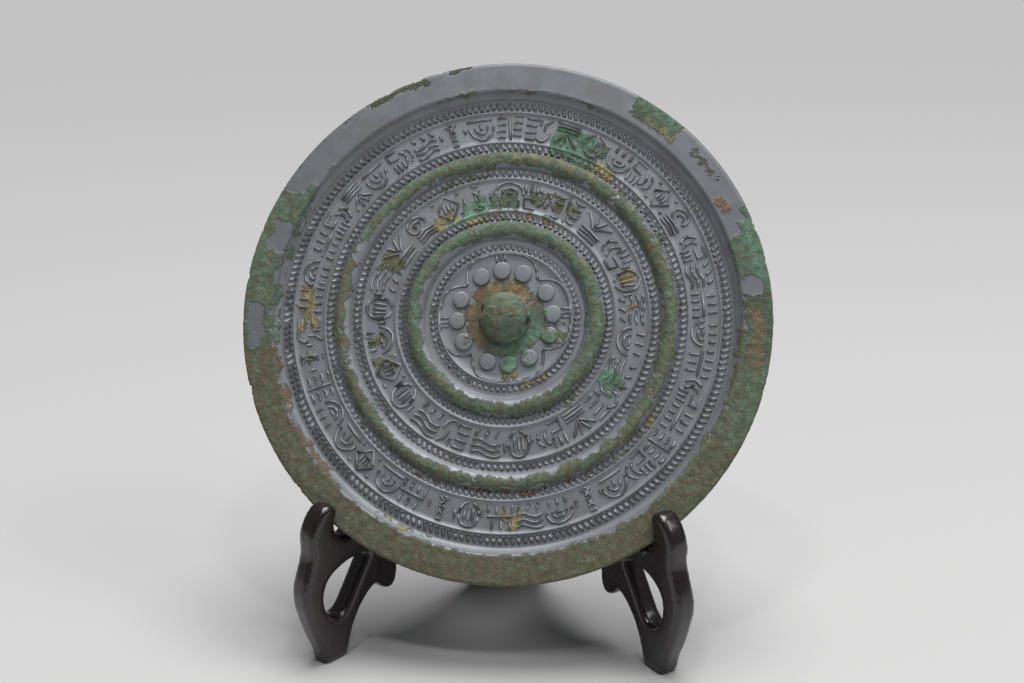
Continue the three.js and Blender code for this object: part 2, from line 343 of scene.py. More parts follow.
def patch_weights(points):
    """How strongly each kind of corrosion lies at each point, from 0 to 1."""
    turn, reach = polar(points)
    span = np.maximum(reach * R, 4.0)
    turn = turn + np.degrees(PATCH_WANDER * speckle(points, 5.0, 90.0, 3) / span)
    reach = reach + PATCH_WANDER / R * speckle(points, 5.0, 97.0, 3)
    soft_turn = np.degrees(1.2 / span)
    soft_reach = 1.0 / R
    weights = {kind: np.zeros(len(turn)) for kind in (*TINTS, BARE)}
    for kind, start, end, inner, outer, strength in PATCHES:
        half = (end - start) / 2
        away = np.abs((turn - (start + end) / 2 + 180) % 360 - 180)
        around = 1.0 if half >= 180 else soft_step(-1, 1, (half - away) / soft_turn)
        across = soft_step(-1, 1, (reach - inner) / soft_reach)
        across = across * soft_step(-1, 1, (outer - reach) / soft_reach)
        weights[kind] = np.maximum(weights[kind], strength * around * across)
    keep = 1 - weights.pop(BARE)
    return {kind: weight * keep for kind, weight in weights.items()}


def patina(points):
    """Tint and cover of the crust at points of the mirror lying face up."""
    weights = patch_weights(points)
    front = soft_step(-THICKNESS + 0.3, -THICKNESS + 1.2, points[:, 2])
    weights = {kind: weight * front for kind, weight in weights.items()}
    strongest = np.max(list(weights.values()), axis=0)
    cover = strongest + BACK_COVER * (1 - front)
    near = (cover > 0.05) & (front > 0)
    cloud = np.zeros(len(points))
    cloud[near] = 0.26 * speckle(points[near], 4.0, 3.0) + 0.16 * speckle(points[near], 1.5, 9.0, 3)
    tint = np.zeros((len(points), 3)) + np.array(TINTS["olive"]) * 1e-4
    total = np.full(len(points), 1e-4)
    for order, (kind, colour) in enumerate(TINTS.items()):
        there = weights[kind] > 0.02
        mottle = 1 + 0.6 * speckle(points[there], 2.6, 20.0 + 7 * order, 4)
        share = (weights[kind][there] * mottle) ** 4
        tint[there] += share[:, None] * np.array(colour)
        total[there] += share
    return tint / total[:, None], soft_step(0.30, 0.72, cover + cloud)


def field_shade_and_rim_tone(points):
    """Painted shade in the recesses of the turned body, and the flat rim's darker tone."""
    reach = polar(points)[1]
    painted_shade = np.zeros(len(points))
    for middle, half, tone in PAINTED_SHADE_BANDS:
        near = 1 - soft_step(0.75, 1.25, np.abs(reach - middle) / half)
        painted_shade = np.maximum(painted_shade, tone * near)
    painted_shade = painted_shade * (points[:, 2] > -DEPTH - 0.4) * (points[:, 2] < 0.5 - DEPTH)
    # The flat rim's darker tone is kept in the same attribute as the painted shade.
    return np.maximum(painted_shade, RIM_TONE * (points[:, 2] > -1.0))


def relief_painted_shade(points, rise, tone=0.44):
    """Painted shade: dark at the foot of a raised piece and clear at its top."""
    up = (points[:, 2] + DEPTH) / rise
    return tone * (1 - soft_step(0.05, 0.85, up))


def store_patina_and_shade(mesh, points, painted_shade):
    tint, cover = patina(points)
    crust = mesh.color_attributes.new("crust", "FLOAT_COLOR", "POINT")
    crust.data.foreach_set("color", np.column_stack([tint, cover]).astype(np.float32).ravel())
    # Painted shade: darkening of recesses and of the feet of raised pieces, and on the body also the flat
    # rim's darker tone.
    tone = mesh.attributes.new("painted_shade", "FLOAT", "POINT")
    tone.data.foreach_set("value", painted_shade.astype(np.float32))
    return cover


def new_object(name, mesh, material, slot, *nodes):
    piece = bpy.data.objects.new(name, mesh)
    bpy.context.scene.collection.objects.link(piece)
    mesh.materials.clear()
    mesh.materials.append(material)
    mesh.shade_smooth()
    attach(piece, BODY)
    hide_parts(*nodes)
    return piece


def mirror_piece(name, bm, painted_shade):
    """Ends a piece of the mirror: paints its patina and its painted shade, stands it up and makes its
    object.
    """
    mesh = bpy.data.meshes.new(name)
    bmesh.ops.recalc_face_normals(bm, faces=bm.faces)
    bm.to_mesh(mesh)
    bm.free()
    points = mesh_points(mesh)
    store_patina_and_shade(mesh, points, painted_shade(points))
    mesh.transform(STOOD_UP)
    return new_object(name, mesh, bronze_material(), BRONZE_SLOT, "mirror")


def evaluated_mesh(piece, name):
    """The mesh of an object with its modifiers applied."""
    ready = piece.evaluated_get(bpy.context.evaluated_depsgraph_get())
    mesh = bpy.data.meshes.new_from_object(ready)
    mesh.name = name
    return mesh


def discard(*pieces):
    for piece in pieces:
        mesh = piece.data
        bpy.data.objects.remove(piece)
        bpy.data.meshes.remove(mesh)


# ---------------------------------------------------------------- materials
class Nodes:
    """Short names for building a node tree."""

    def __init__(self, name):
        self.material = bpy.data.materials.new(name)
        self.material.use_nodes = True
        self.tree = self.material.node_tree
        self.shader = self.tree.nodes["Principled BSDF"]

    def add(self, kind, **values):
        node = self.tree.nodes.new(kind)
        for key, value in values.items():
            setattr(node, key, value)
        return node

    def link(self, source, target):
        self.tree.links.new(source, target)

    def put(self, socket, value):
        if isinstance(value, bpy.types.NodeSocket):
            self.link(value, socket)
        else:
            socket.default_value = value

    def noise(self, scale, detail=4.0, rough=0.55, vector=None):
        node = self.add("ShaderNodeTexNoise")
        node.inputs["Scale"].default_value = scale
        node.inputs["Detail"].default_value = detail
        node.inputs["Roughness"].default_value = rough
        self.link(vector or self.place(), node.inputs["Vector"])
        return node.outputs["Fac"]

    def place(self):
        if not hasattr(self, "coordinates"):
            self.coordinates = self.add("ShaderNodeTexCoord").outputs["Object"]
        return self.coordinates

    def math(self, operation, a, b=0.0, c=0.0):
        node = self.add("ShaderNodeMath", operation=operation)
        for socket, value in zip(node.inputs, (a, b, c)):
            self.put(socket, value)
        return node.outputs[0]

    def span(self, value, low, high, to_low=0.0, to_high=1.0):
        node = self.add("ShaderNodeMapRange", interpolation_type="SMOOTHSTEP")
        for socket, number in zip(node.inputs, (value, low, high, to_low, to_high)):
            self.put(socket, number)
        return node.outputs[0]

    def mix(self, factor, a, b, blend="MIX"):
        node = self.add("ShaderNodeMix", data_type="RGBA", blend_type=blend)
        self.put(node.inputs["Factor"], factor)
        self.put(node.inputs[6], a)
        self.put(node.inputs[7], b)
        return node.outputs[2]

    def bump(self, height, distance, strength=1.0, under=None):
        node = self.add("ShaderNodeBump")
        node.inputs["Distance"].default_value = distance
        node.inputs["Strength"].default_value = strength
        self.link(height, node.inputs["Height"])
        if under is not None:
            self.link(under, node.inputs["Normal"])
        return node.outputs["Normal"]


def colour(rgb):
    return (rgb[0], rgb[1], rgb[2], 1.0)


def bronze_material():
    """Smooth blue-grey metal with mottled green, olive and brown crust, both darkened by painted shade in
    their recesses.
    """
    name = "patinated_bronze"
    if name in bpy.data.materials:
        return bpy.data.materials[name]
    settings = bpy.context.scene.mirror_settings
    n = Nodes(name)
    crust = n.add("ShaderNodeAttribute", attribute_name="crust")
    painted_shade = n.add("ShaderNodeAttribute", attribute_name="painted_shade").outputs["Fac"]
    fine = n.noise(950.0, 5.0, 0.62)
    cloud = n.noise(170.0, 3.0)
    grain = n.noise(2600.0, 2.0)
    worn = n.math("ADD", crust.outputs["Alpha"], n.math("MULTIPLY", n.math("SUBTRACT", fine, 0.5), 1.1))
    worn = n.math("ADD", worn, n.math("MULTIPLY", n.math("SUBTRACT", cloud, 0.5), 0.6))
    cover = n.span(worn, 0.22, 0.78)
    red, green, blue = settings.bare_metal
    metal = n.mix(n.span(cloud, 0.3, 0.7, 0.0, 1.0), colour(settings.bare_metal),
                  colour((0.86 * red, 0.82 * green, 0.80 * blue)))
    # Painted shade: the metal darkens in its recesses and at the feet of raised pieces.
    metal = n.mix(painted_shade, metal, colour(settings.painted_shade_metal))
    blotch = n.noise(420.0, 4.0, 0.6)
    shade = n.span(blotch, 0.3, 0.7, 0.72, 1.28)
    value = n.add("ShaderNodeHueSaturation")
    n.link(shade, value.inputs["Value"])
    n.link(crust.outputs["Color"], value.inputs["Color"])
    skin = value.outputs["Color"]
    spots = n.span(n.noise(1100.0, 3.0, 0.6), 0.56, 0.70, 0.0, 0.40)
    skin = n.mix(spots, skin, colour(TINTS["mint"]))
    pits = n.span(n.noise(900.0, 3.0, 0.6), 0.48, 0.66, 0.0, 0.75)
    skin = n.mix(pits, skin, colour(TINTS["umber"]))
    # Painted shade on the crust as well, half as strong, towards the moss tint.
    skin = n.mix(n.math("MULTIPLY", painted_shade, 0.5), skin, colour(TINTS["moss"]))
    n.link(n.mix(cover, metal, skin), n.shader.inputs["Base Color"])
    n.link(n.span(cover, 0.0, 1.0, 0.50, 0.88), n.shader.inputs["Roughness"])
    n.link(n.span(cover, 0.0, 1.0, 0.35, 0.0), n.shader.inputs["Metallic"])
    smooth = n.bump(grain, 0.03 * MM, 0.5)
    lumps = n.math("MULTIPLY", n.math("ADD", fine, blotch), cover)
    n.link(n.bump(lumps, 0.45 * MM, 0.9, smooth), n.shader.inputs["Normal"])
    return n.material


def rosewood_material():
    """Dark polished rosewood with fine grain along the board."""
    name = "dark_rosewood"
    if name in bpy.data.materials:
        return bpy.data.materials[name]
    settings = bpy.context.scene.stand_settings
    n = Nodes(name)
    stretch = n.add("ShaderNodeMapping")
    stretch.inputs["Scale"].default_value = (1.0, 1.0, 0.12)
    n.link(n.place(), stretch.inputs["Vector"])
    lines = n.noise(900.0, 4.0, 0.6, stretch.outputs["Vector"])
    broad = n.noise(140.0, 3.0, 0.5, stretch.outputs["Vector"])
    blend = n.math("MULTIPLY", n.span(lines, 0.35, 0.70), n.span(broad, 0.3, 0.7, 0.3, 1.0))
    n.link(n.mix(blend, colour(settings.dark_wood), colour(settings.red_wood)),
           n.shader.inputs["Base Color"])
    n.link(n.span(n.noise(220.0, 3.0), 0.3, 0.7, 0.24, 0.30), n.shader.inputs["Roughness"])
    n.shader.inputs["Coat Weight"].default_value = 0.4
    n.shader.inputs["Coat Roughness"].default_value = 0.12
    n.link(n.bump(lines, 0.02 * MM, 0.25), n.shader.inputs["Normal"])
    return n.material


def floor_material():
    """Plain pale matt surface."""
    settings = bpy.context.scene.stage_settings
    n = Nodes("pale_floor")
    n.shader.inputs["Base Color"].default_value = colour(settings.floor_colour)
    n.shader.inputs["Roughness"].default_value = 0.9
    return n.material


# ---------------------------------------------------------------- the turned body
def ring_height(fraction, ring):
    inner, outer, rise = ring
    across = (2 * fraction - inner - outer) / (outer - inner)
    if abs(across) >= 1:
        return 0.0
    return rise * (1 - abs(across) ** 2.2) ** 0.62


def face_height(fraction):
    """Height of the decorated side at a fraction of the radius."""
    if fraction >= RIM_INNER:
        return 0.0
    if fraction > WALL_FOOT:
        down = (RIM_INNER - fraction) / (RIM_INNER - WALL_FOOT)
        return -DEPTH * math.sin(down * math.pi / 2)
    rise = ring_height(fraction, OUTER_RING) + ring_height(fraction, INNER_RING)
    for line in THIN_LINES:
        away = abs(fraction - line) / LINE_HALF
        if away < 1:
            rise += LINE_RISE * math.cos(away * math.pi / 2) ** 1.3
    return rise - DEPTH


def body_profile():
    """The outline that is turned, from the middle of the back round the rim to the middle."""
    back = [
        (s * (R - CHAMFER), -THICKNESS - BACK_BULGE * (1 - s * s))
        for s in (0.0, 0.2, 0.4, 0.6, 0.8, 0.93)
    ]
    side = [(R - CHAMFER, -THICKNESS), (R, CHAMFER - THICKNESS), (R, -0.66 * THICKNESS),
            (R, -0.4 * THICKNESS), (R, -CHAMFER - 0.6), (R, -CHAMFER)]
    face = []
    for start, end, steps in PROFILE_SPANS:
        for i in range(steps):
            fraction = start + (end - start) * i / steps
            face.append((fraction * R, face_height(fraction)))
    return back + side + face + [(0.0, -DEPTH)]


def edge_loss(turn):
    loss = np.zeros(len(turn))
    for middle, half, depth in EDGE_LOSSES:
        away = np.abs((turn - middle + 180) % 360 - 180) / half
        loss = np.maximum(loss, depth * (1 - soft_step(0.3, 1.0, away)))
    return loss


class MIRROR_OT_body(Operator):
    """Turns the mirror's body with its rim, rings and thin lines"""
    bl_idname = "bronze_mirror.body"
    bl_label = "Mirror body"

    def execute(self, context):
        bm = bmesh.new()
        outline = [bm.verts.new((radius, 0, height)) for radius, height in body_profile()]
        edges = [bm.edges.new(pair) for pair in zip(outline, outline[1:])]
        bmesh.ops.spin(bm, geom=outline + edges, cent=(0, 0, 0), axis=(0, 0, 1),
                       angle=2 * math.pi, steps=TURN_STEPS, use_merge=True)
        bmesh.ops.remove_doubles(bm, verts=bm.verts, dist=0.0001)
        bmesh.ops.recalc_face_normals(bm, faces=bm.faces)
        mesh = bpy.data.meshes.new("mirror_body")
        bm.to_mesh(mesh)
        bm.free()
        points = mesh_points(mesh)
        cover = store_patina_and_shade(mesh, points, field_shade_and_rim_tone(points))
        crust_rise = context.scene.mirror_settings.crust_rise / MM
        set_mesh_points(mesh, self.weathered(points, cover, crust_rise))
        mesh.transform(STOOD_UP)
        new_object("mirror_body", mesh, bronze_material(), BRONZE_SLOT, "mirror")
        return {"FINISHED"}

    @staticmethod
    def weathered(points, cover, crust_rise):
        """Raises the crust, softens the casting a little and takes the losses off the edge."""
        turn, reach = polar(points)
        inside = 1 - soft_step(0.955, 0.985, reach)
        on_face = points[:, 2] > -DEPTH - 0.5
        lumps = crust_rise * (0.6 + speckle(points, 1.8, 40.0, 4)) * cover
        casting = 0.035 * speckle(points, 9.0, 60.0, 2)
        moved = points.copy()
        moved[:, 2] += on_face * inside * (np.maximum(lumps, 0) + casting)
        rim = soft_step(0.95, 0.985, reach)
        sunk = np.maximum(0.10 + 0.22 * speckle(points, 1.6, 44.0, 4), 0) * cover
        moved[:, 2] -= on_face * rim * np.abs(sunk) * (points[:, 2] > -0.3)
        rough = np.maximum(0.5 + speckle(points, 1.1, 70.0, 4), 0.0)
        inward = soft_step(0.975, 1.0, reach) * (edge_loss(turn) + 0.12 * cover) * rough
        scale = 1 - inward / (np.maximum(reach, 0.1) * R)
        moved[:, 0] *= scale
        moved[:, 1] *= scale
        return moved


# ---------------------------------------------------------------- raised strokes and teeth
# A rounded stroke's section: across in half widths, up in rises. Its foot is sunk in the field.
STROKE_SECTION = ((-1.35, -0.3), (-1.3, 0.02), (-0.82, 0.22), (-0.45, 0.86), (0, 1),
                  (0.45, 0.86), (0.82, 0.22), (1.3, 0.02), (1.35, -0.3))
TOOTH_SECTION = ((-1, -0.3), (-0.95, 0.03), (-0.2, 0.85), (0, 1), (0.2, 0.85), (0.95, 0.03), (1, -0.3))


def straight_bar(section, rings):
    """A bar along +X with a ring of points at every whole number, closed at both ends."""
    bm = bmesh.new()
    end = bm.faces.new([bm.verts.new((0, across, up)) for across, up in section])
    for _ in range(rings - 1):
        made = bmesh.ops.extrude_face_region(bm, geom=[end])["geom"]
        corners = [g for g in made if isinstance(g, bmesh.types.BMVert)]
        bmesh.ops.translate(bm, verts=corners, vec=(1, 0, 0))
        end = next(g for g in made if isinstance(g, bmesh.types.BMFace))
    return bm


def along(path):
    """Unit directions along a path at each of its points."""
    last = len(path) - 1
    ways = [path[min(i + 1, last)] - path[max(i - 1, 0)] for i in range(last + 1)]
    return [way.normalized() for way in ways]


def add_ridge(bm, path, half_width, rise, section=STROKE_SECTION, end_width=0.5, end_rise=0.3):
    """Adds one raised stroke with rounded ends along a path of points on the field."""
    ways = along(path)
    rings = [(path[0], ways[0], end_width, end_rise)]
    rings.append((path[0] + ways[0] * 0.7 * half_width, ways[0], 1.0, 1.0))
    rings += [(p, w, 1.0, 1.0) for p, w in zip(path[1:-1], ways[1:-1])]
    rings.append((path[-1] - ways[-1] * 0.7 * half_width, ways[-1], 1.0, 1.0))
    rings.append((path[-1], ways[-1], end_width, end_rise))
    bar = straight_bar(section, len(rings))
    for corner in bar.verts:
        point, way, wide, tall = rings[round(corner.co.x)]
        side = Vector((-way.y, way.x, 0))
        up = corner.co.z * rise * (tall if corner.co.z > 0 else 1.0)
        corner.co = point + side * (corner.co.y * half_width * wide) + Vector((0, 0, up))
    scratch = bpy.data.meshes.new("scratch")
    bar.to_mesh(scratch)
    bar.free()
    bm.from_mesh(scratch)
    bpy.data.meshes.remove(scratch)


class MIRROR_OT_teeth(Operator):
    """Makes the five bands of slanted teeth"""
    bl_idname = "bronze_mirror.teeth"
    bl_label = "Bands of teeth"

    def execute(self, context):
        rise = context.scene.mirror_settings.tooth_rise / MM
        for order, (inner, outer, count) in enumerate(TOOTH_BANDS):
            bm = bmesh.new()
            pitch = math.tau * (inner + outer) / 2 * R / count
            swing = math.degrees(math.tan(TOOTH_SLANT) * (outer - inner) / (inner + outer))
            path = [turned_point(swing - 2 * swing * t, inner + (outer - inner) * t)
                    for t in (0.0, 0.5, 1.0)]
            add_ridge(bm, path, TOOTH_HALF_WIDTH * pitch, rise, TOOTH_SECTION, *TOOTH_END)
            bmesh.ops.spin(bm, geom=bm.verts[:] + bm.edges[:] + bm.faces[:], cent=(0, 0, 0),
                           axis=(0, 0, 1), angle=math.tau * (count - 1) / count,
                           steps=count - 1, use_duplicate=True)
            self.vary(bm, order)
            mirror_piece(f"mirror_teeth_{order + 1}", bm,
                         lambda points: relief_painted_shade(points, rise))
        return {"FINISHED"}

    @staticmethod
    def vary(bm, order):
        """Makes some stretches of a band softer than others, as they came from the mould."""
        for corner in bm.verts:
            at = Vector((corner.co.x, corner.co.y, 0)) / 16 + Vector((0, 0, 5.0 * order))
            soft = min(max(0.92 + 0.55 * noise.noise(at), 0.35), 1.08)
            if corner.co.z > -DEPTH:
                corner.co.z = -DEPTH + (corner.co.z + DEPTH) * soft


# Motifs that fill a place: paths of (across, out) points in a square from -1 to 1.
def arc(middle, size, start, end, steps=7):
    """One path along an arc, angles in degrees from straight out."""
    points = []
    for i in range(steps + 1):
        angle = math.radians(start + (end - start) * i / steps)
        points.append((middle[0] + size[0] * math.sin(angle), middle[1] + size[1] * math.cos(angle)))
    return [points]


def bars(count, left, right, low, high, lean=0.0):
    """Paths of bars side by side that run outwards."""
    places = [left + (right - left) * i / max(count - 1, 1) for i in range(count)]
    return [[(x - lean, low), (x + lean, high)] for x in places]


def rungs(count, left, right, low, high, bow=0.0):
    """Paths of bars one above another that run across."""
    places = [low + (high - low) * i / max(count - 1, 1) for i in range(count)]
    return [[(left, y), ((left + right) / 2, y + bow), (right, y)] for y in places]


def wave(left, right, height, swing):
    """One path that waves across."""
    steps = 8
    return [[(left + (right - left) * i / steps, height + swing * math.sin(i / steps * math.tau))
             for i in range(steps + 1)]]


MOTIFS = (
    # barred egg with side ticks
    arc((0, 0), (0.72, 0.95), 10, 350, 12) + bars(3, -0.3, 0.3, -0.5, 0.5)
    + [[(-1, 0.5), (-0.95, -0.1)], [(1, 0.1), (0.95, -0.6)]],
    # two canopies over three posts
    arc((0, 0.05), (0.95, 0.9), -95, 95) + arc((0, 0.0), (0.52, 0.5), -90, 90)
    + bars(3, -0.6, 0.6, -0.95, -0.35) + rungs(1, -0.25, 0.25, 0.1, 0.1),
    # two rakes back to back
    rungs(1, -1, 1, 0.05, 0.05) + bars(4, -0.9, 0.9, 0.32, 0.95) + bars(3, -0.62, 0.62, -0.95, -0.22),
    # streamers
    wave(-0.95, 0.95, 0.78, 0.16) + wave(-0.95, 0.95, 0.36, 0.16) + wave(-0.95, 0.95, -0.08, 0.16)
    + bars(3, -0.7, 0.7, -0.95, -0.45, 0.12),
    # rungs beside a long hook
    rungs(4, -1, -0.1, -0.82, 0.86) + arc((0.35, 0.25), (0.55, 0.7), -60, 100)
    + [[(0.45, 0.1), (0.5, -0.5), (0.95, -0.95)]] + bars(1, 0.1, 0.1, -0.9, -0.3),
    # lozenge round bars, with corner dots
    [[(0, 0.98), (-0.75, 0.1), (-0.7, -0.12), (0, -0.98), (0.7, -0.12), (0.75, 0.1), (0, 0.98)]]
    + bars(3, -0.28, 0.28, -0.35, 0.35) + rungs(2, 0.72, 1.0, -0.8, 0.8) + rungs(2, -1.0, -0.72, -0.8, 0.8),
    # curl with trailing lines
    arc((-0.2, 0.35), (0.68, 0.6), -200, 120, 10) + arc((-0.15, 0.35), (0.28, 0.24), -150, 120, 6)
    + rungs(3, -0.9, 0.85, -0.95, -0.42, 0.1),
    # ribs on a leaning stem
    [[(-0.1, -1), (0.1, 1)]] + rungs(4, -0.95, -0.28, -0.75, 0.85, -0.12)
    + rungs(4, 0.28, 0.95, -0.9, 0.7, -0.12),
    # nested cups under a bar
    arc((0, 0.35), (0.95, 1.25), 95, 265, 9) + arc((0, 0.35), (0.5, 0.75), 98, 262, 7)
    + rungs(1, -0.95, 0.95, 0.75, 0.75) + bars(1, 0, 0, -0.1, 0.45),
    # crossing curves and a dot row
    arc((-0.95, 0.1), (1.1, 0.85), 30, 140) + arc((0.95, 0.1), (1.1, 0.85), -140, -30)
    + rungs(1, -0.2, 0.2, 0.85, 0.85) + rungs(1, -0.25, 0.25, -0.9, -0.9) + bars(2, -0.95, 0.95, -0.2, 0.3),
    # fan over steps
    [[(0, -0.1), (-0.9, 0.85)], [(0.02, 0.05), (-0.3, 0.95)], [(0.06, 0.05), (0.35, 0.95)],
     [(0.1, -0.1), (0.95, 0.8)]] + rungs(3, -0.85, 0.85, -0.92, -0.38),
    # three tall curved strokes and a boxed corner
    arc((0.6, 0), (1.5, 1.0), -130, -50) + arc((0.9, 0), (1.3, 0.95), -130, -50)
    + [[(0.05, 0.9), (0.9, 0.9), (0.9, 0.2), (0.1, 0.2)]] + bars(3, 0.1, 0.85, -0.95, -0.15),
)


def place_motif(motif, rng, centre, half_turn, middle, half_reach):
    """Paths on the field for a motif in its place, turned over at random."""
    flip_across = rng.choice((-1, 1))
    flip_out = rng.choice((-1, 1))
    lean = rng.uniform(-0.07, 0.07)
    paths = []
    for path in motif:
        points = []
        for across, out in path:
            u = flip_across * across + lean * out + rng.uniform(-0.03, 0.03)
            v = flip_out * out + rng.uniform(-0.03, 0.03)
            points.append((centre + u * half_turn, middle + v * half_reach))
        if len(points) == 2:
            (a, b), (c, d) = points
            points.insert(1, ((a + c) / 2, (b + d) / 2))
        paths.append([turned_point(turn, reach) for turn, reach in points])
    return paths


class MIRROR_OT_strokes(Operator):
    """Fills the two wide bands with rows of shallow strokes"""
    bl_idname = "bronze_mirror.strokes"
    bl_label = "Bands of strokes"

    def execute(self, context):
        settings = context.scene.mirror_settings
        rise = settings.stroke_rise / MM
        half_width = settings.stroke_width / MM / 2
        for order, (inner, outer, places, seed) in enumerate(STROKE_BANDS):
            rng = random.Random(seed)
            bm = bmesh.new()
            step = 360 / places
            middle = (inner + outer) / 2
            half_reach = (outer - inner) / 2 * STROKE_FILL
            last = None
            for place in range(places):
                centre = step * (place + rng.uniform(-0.05, 0.05))
                half_turn = step * rng.uniform(*PLACE_FILL)
                motif = rng.choice([m for m in MOTIFS if m is not last])
                last = motif
                for path in place_motif(motif, rng, centre, half_turn, middle, half_reach):
                    width = half_width * rng.uniform(0.88, 1.1)
                    add_ridge(bm, path, width, rise * rng.uniform(0.85, 1.05))
            mirror_piece(f"mirror_strokes_{order + 1}", bm, lambda points: relief_painted_shade(points, rise))
        return {"FINISHED"}


# ---------------------------------------------------------------- round the knob
class MIRROR_OT_centre(Operator):
    """Makes the lobed line, the short radial lines and the beads round the knob"""
    bl_idname = "bronze_mirror.centre"
    bl_label = "Beads and lobed line"

    def execute(self, context):
        self.lines()
        self.beads()
        return {"FINISHED"}

    @staticmethod
    def lines():
        bm = bmesh.new()
        for group in GROUP_TURNS:
            lobe = []
            for i in range(LOBE_STEPS + 1):
                t = -LOBE_HALF_TURN + 2 * LOBE_HALF_TURN * i / LOBE_STEPS
                drop = max(abs(t) - LOBE_CROWN, 0) / (LOBE_HALF_TURN - LOBE_CROWN)
                lobe.append(turned_point(group + t, LOBE_REACH - LOBE_DROP * drop ** LOBE_CURVE))
            add_ridge(bm, lobe, 0.42, CENTRE_LINE_RISE)
            for offset in (-4.0, 0.0, 4.0):
                line = [turned_point(group + offset * 1.12, 0.214), turned_point(group + offset, 0.232),
                        turned_point(group + offset * 0.95, LOBE_REACH)]
                add_ridge(bm, line, 0.36, CENTRE_LINE_RISE)
        mirror_piece("mirror_lobed_line", bm, lambda points: relief_painted_shade(points, CENTRE_LINE_RISE, 0.5))

    @staticmethod
    def beads():
        bm = bmesh.new()
        rng = random.Random(5)
        for group in GROUP_TURNS:
            for i in (-1, 0, 1):
                middle = turned_point(group + i * BEAD_STEP + rng.uniform(-0.8, 0.8), BEAD_CIRCLE)
                height = BEAD_RISE + BURIED
                size = BEAD_RADIUS * rng.uniform(0.95, 1.02)
                place = Matrix.Translation(middle + Vector((0, 0, BEAD_RISE - height / 2)))
                made = bmesh.ops.create_cone(bm, cap_ends=True, segments=44, radius1=size + 0.12,
                                             radius2=size - 0.18, depth=height, matrix=place)
                top = middle.z + BEAD_RISE
                rim = {e for v in made["verts"] for e in v.link_edges
                       if all(abs(c.co.z - top) < 0.01 for c in e.verts)}
                bmesh.ops.bevel(bm, geom=list(rim), offset=0.42, offset_type="OFFSET", segments=4,
                                profile=0.5, affect="EDGES", material=-1, clamp_overlap=True)
        mirror_piece("mirror_beads", bm, lambda points: relief_painted_shade(points, BEAD_RISE, 0.5))


def solid_object(name, bm):
    bmesh.ops.recalc_face_normals(bm, faces=bm.faces)
    mesh = bpy.data.meshes.new(name)
    bm.to_mesh(mesh)
    bm.free()
    piece = bpy.data.objects.new(name, mesh)
    bpy.context.scene.collection.objects.link(piece)
    return piece


class MIRROR_OT_knob(Operator):
    """Makes the pierced knob with its crust"""
    bl_idname = "bronze_mirror.knob"
    bl_label = "Pierced knob"

    def execute(self, context):
        dome = bmesh.new()
        bmesh.ops.create_uvsphere(dome, u_segments=96, v_segments=64, radius=KNOB_RADIUS)
        bmesh.ops.scale(dome, verts=dome.verts, vec=(1, 1, KNOB_RISE / KNOB_RADIUS))
        bmesh.ops.bisect_plane(dome, geom=dome.verts[:] + dome.edges[:] + dome.faces[:],
                               plane_co=(0, 0, -BURIED), plane_no=(0, 0, -1), clear_outer=True)
        bmesh.ops.holes_fill(dome, edges=dome.edges, sides=0)
        bmesh.ops.translate(dome, verts=dome.verts, vec=(0, 0, -DEPTH))
        tunnel = bmesh.new()
        bmesh.ops.create_cone(tunnel, cap_ends=True, segments=40, radius1=TUNNEL_WIDTH / 2,
                              radius2=TUNNEL_WIDTH / 2, depth=3 * KNOB_RADIUS)
        bmesh.ops.scale(tunnel, verts=tunnel.verts, vec=(TUNNEL_RISE / TUNNEL_WIDTH, 1, 1))
        lie = Matrix.Rotation(TUNNEL_TURN, 4, "Z") @ Matrix.Rotation(math.pi / 2, 4, "Y")
        raised = Matrix.Translation((0, 0, TUNNEL_SILL + TUNNEL_RISE / 2 - DEPTH))
        bmesh.ops.transform(tunnel, verts=tunnel.verts, matrix=raised @ lie)
        knob = solid_object("knob_dome", dome)
        cutter = solid_object("knob_tunnel", tunnel)
        cut = knob.modifiers.new("tunnel", "BOOLEAN")
        cut.operation = "DIFFERENCE"
        cut.solver = "EXACT"
        cut.object = cutter
        skin = knob.modifiers.new("surface", "REMESH")
        skin.mode = "VOXEL"
        skin.voxel_size = 0.28
        round_off = knob.modifiers.new("rounding", "SMOOTH")
        round_off.factor = 0.5
        round_off.iterations = 5
        mesh = evaluated_mesh(knob, "mirror_knob")
        discard(knob, cutter)
        points = mesh_points(mesh)
        self.crusted(mesh, points)
        points = mesh_points(mesh)
        # Painted shade: the knob darkens towards its foot, where it meets the field.
        store_patina_and_shade(mesh, points, 0.5 * (1 - soft_step(0.0, 2.5, points[:, 2] + DEPTH)))
        mesh.transform(STOOD_UP)
        new_object("mirror_knob", mesh, bronze_material(), BRONZE_SLOT, "mirror")
        return {"FINISHED"}

    @staticmethod
    def crusted(mesh, points):
        """Lumpy corrosion all over the dome, thicker round its foot."""
        centre = np.array([0, 0, -DEPTH])
        away = points - centre
        away /= np.linalg.norm(away, axis=1)[:, None]
        up = points[:, 2] + DEPTH
        foot = 1 - soft_step(0.5, 4.0, up)
        lumps = 0.30 * speckle(points, 2.6, 80.0, 4) + 0.25 * foot
        set_mesh_points(mesh, points + away * (lumps * (up > 0.1))[:, None])


# ---------------------------------------------------------------- stand
ROUNDING_PASSES = 34


